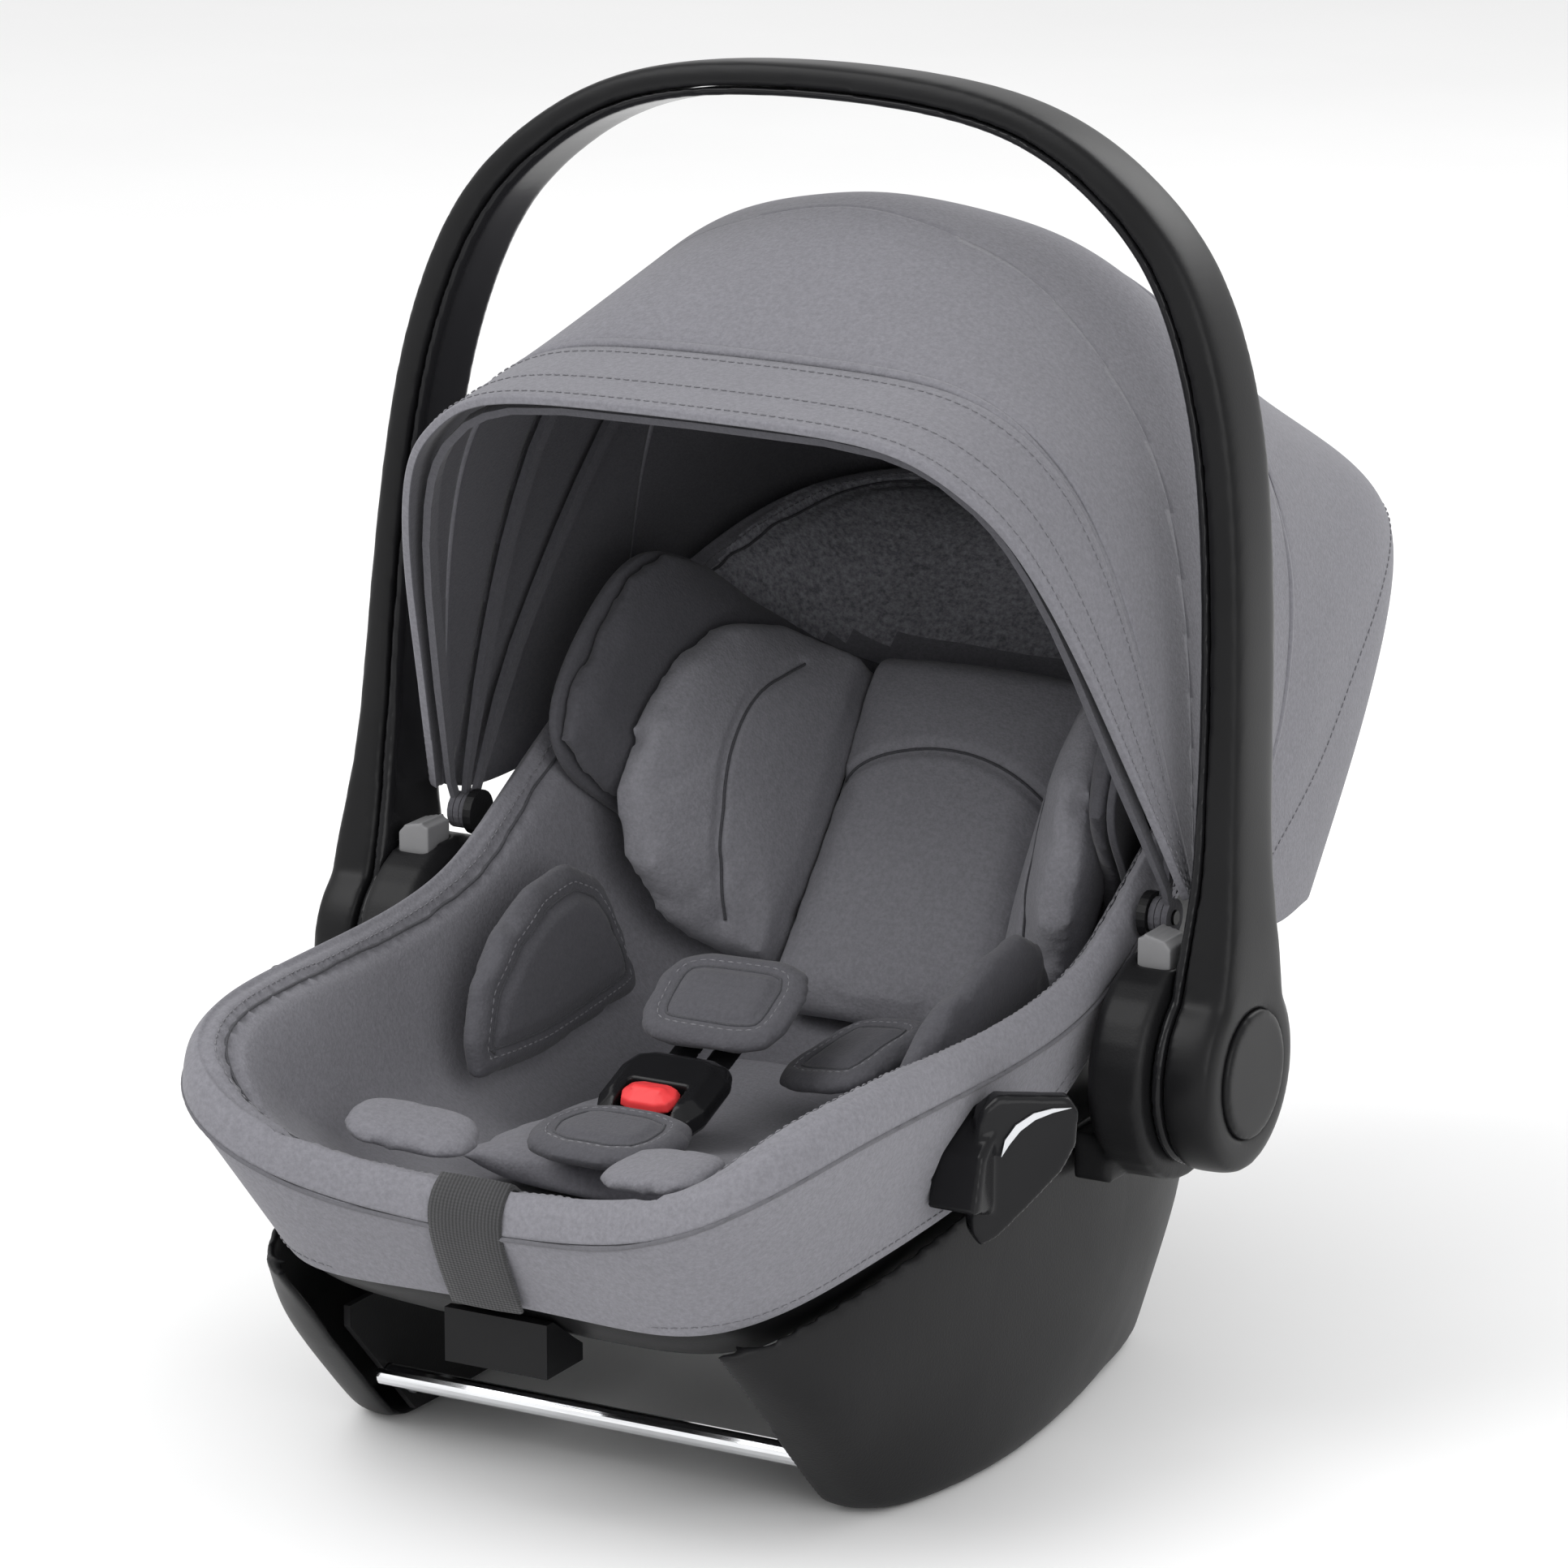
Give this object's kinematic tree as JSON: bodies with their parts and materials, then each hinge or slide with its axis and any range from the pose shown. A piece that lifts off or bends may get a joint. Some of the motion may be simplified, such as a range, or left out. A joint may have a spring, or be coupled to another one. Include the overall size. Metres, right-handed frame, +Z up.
{
  "type": "infant car seat",
  "caption": "Rear-facing infant carrier with swinging carry handle, folding hood, sliding headrest, padded harness and rocker feet with latch rods.",
  "frame": {"origin": "centre of the bottom of the bounding box", "axes": "X across the seat, -Y towards the foot end, +Z up; the seat stands on its rocker feet"},
  "size_m": [0.44, 0.6266, 0.5608],
  "materials": {
    "shell": "fine grained black plastic",
    "handle": "satin black plastic",
    "gloss": "polished black plastic",
    "grey": "ribbed grey plastic",
    "silver": "silver trim line",
    "chrome": "polished steel rod",
    "steel": "plain steel",
    "foam": "expanded foam, hidden",
    "fabric": "fine grey knit",
    "webbing": "ribbed charcoal webbing",
    "red": "red push button"
  },
  "bodies": {
    "seat": {"outer_shell": "shell", "rocker_foot_left": "shell", "rocker_foot_right": "shell", "foot_web_left": "shell", "foot_web_right": "shell", "hub_housing_left": "shell", "hub_housing_right": "shell", "hood_clip_left": "shell", "hood_clip_right": "shell", "belt_guide_left": "handle", "belt_guide_right": "handle", "strap_bracket": "handle", "buckle": "gloss", "harness_tongue_left": "gloss", "harness_tongue_right": "gloss", "belt_guide_trim_left": "silver", "belt_guide_trim_right": "silver", "front_rod": "chrome", "rear_rod": "chrome", "web_screw_left": "steel", "web_screw_right": "steel", "lock_ring_left": "steel", "lock_ring_right": "steel", "foam_liner": "foam", "seat_cover": "fabric", "cover_skirt": "fabric", "head_panel": "fabric", "insert_back": "fabric", "insert_pillow_left": "fabric", "insert_pillow_right": "fabric", "seat_pad": "fabric", "hip_pad_left": "fabric", "hip_pad_right": "fabric", "thigh_pad_left": "fabric", "thigh_pad_right": "fabric", "crotch_pad": "fabric", "chest_pad_left": "fabric", "chest_pad_right": "fabric", "adjuster_strap": "webbing"},
    "handle": {"handle_outer": "handle", "handle_inner": "gloss", "hub_cap_left": "handle", "hub_cap_right": "handle", "hinge_pin_left": "steel", "hinge_pin_right": "steel"},
    "button_left": {"release_button_left": "grey", "button_spring_left": "steel"},
    "button_right": {"release_button_right": "grey", "button_spring_right": "steel"},
    "hood_front": {"hood_front_bow": "shell", "hood_visor": "fabric"},
    "hood_middle": {"hood_middle_bow": "shell", "hood_dome": "fabric"},
    "hood_rear": {"hood_rear_bow": "shell", "hood_tail": "fabric"},
    "headrest": {"headrest_shell": "shell", "headrest_pad": "fabric"},
    "buckle_press": {"buckle_button": "red"}
  },
  "joints": [
    {"name": "handle_hinge", "type": "hinge", "parent": "seat", "child": "handle", "pos_m": [0, -0.036, 0.161], "axis": [-1, 0, 0], "range_deg": [0, 106]},
    {"name": "button_left_press", "type": "slide", "parent": "seat", "child": "button_left", "axis": [0, 0, -1], "range_m": [0, 0.004], "stiffness_N_per_m": 900, "springref_m": -0.002, "deforming": ["button_spring_left"]},
    {"name": "button_right_press", "type": "slide", "parent": "seat", "child": "button_right", "axis": [0, 0, -1], "range_m": [0, 0.004], "stiffness_N_per_m": 900, "springref_m": -0.002, "deforming": ["button_spring_right"]},
    {"name": "hood_rear_hinge", "type": "hinge", "parent": "seat", "child": "hood_rear", "pos_m": [0, -0.0235, 0.219], "axis": [-1, 0, 0], "range_deg": [0, 26], "deforming": ["hood_tail"]},
    {"name": "hood_middle_hinge", "type": "hinge", "parent": "hood_rear", "child": "hood_middle", "pos_m": [0, -0.0235, 0.219], "axis": [-1, 0, 0], "range_deg": [0, 6], "deforming": ["hood_dome"]},
    {"name": "hood_front_hinge", "type": "hinge", "parent": "hood_middle", "child": "hood_front", "pos_m": [0, -0.0235, 0.219], "axis": [-1, 0, 0], "range_deg": [0, 18]},
    {"name": "headrest_slide", "type": "slide", "parent": "seat", "child": "headrest", "axis": [0, 0.6157, 0.788], "range_m": [0, 0.05]},
    {"name": "buckle_button_press", "type": "slide", "parent": "seat", "child": "buckle_press", "axis": [0, 0.3746, -0.9272], "range_m": [0, 0.003], "stiffness_N_per_m": 900, "springref_m": -0.002}
  ],
  "couplings": [
    {"joint": "hood_middle_hinge", "follows": "hood_rear_hinge", "ratio": 0.2307},
    {"joint": "hood_front_hinge", "follows": "hood_rear_hinge", "ratio": 0.6922}
  ]
}
